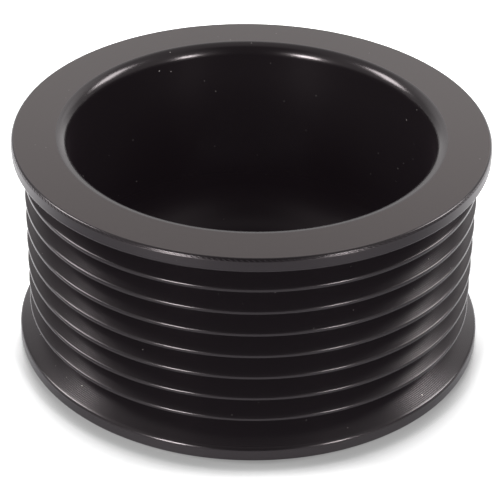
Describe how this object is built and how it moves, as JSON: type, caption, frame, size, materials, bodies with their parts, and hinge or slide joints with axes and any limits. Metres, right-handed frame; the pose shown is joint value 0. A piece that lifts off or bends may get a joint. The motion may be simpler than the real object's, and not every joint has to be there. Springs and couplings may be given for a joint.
{
  "type": "ribbed belt pulley",
  "caption": "Deep cup-shaped pulley for a ribbed belt, with V-grooves between two belt flanges and a flat web with a shaft bore, turned in black anodised aluminium.",
  "frame": {"origin": "centre of the web's outer face, which the pulley stands on", "axes": "+Z along the shaft's axis, from the web's outer face out of the cup's mouth"},
  "size_m": [0.0692, 0.0692, 0.0333],
  "materials": {
    "black_anodising": "turned, then satin black anodised"
  },
  "bodies": {
    "root": {"pulley": "black_anodising"}
  },
  "joints": []
}
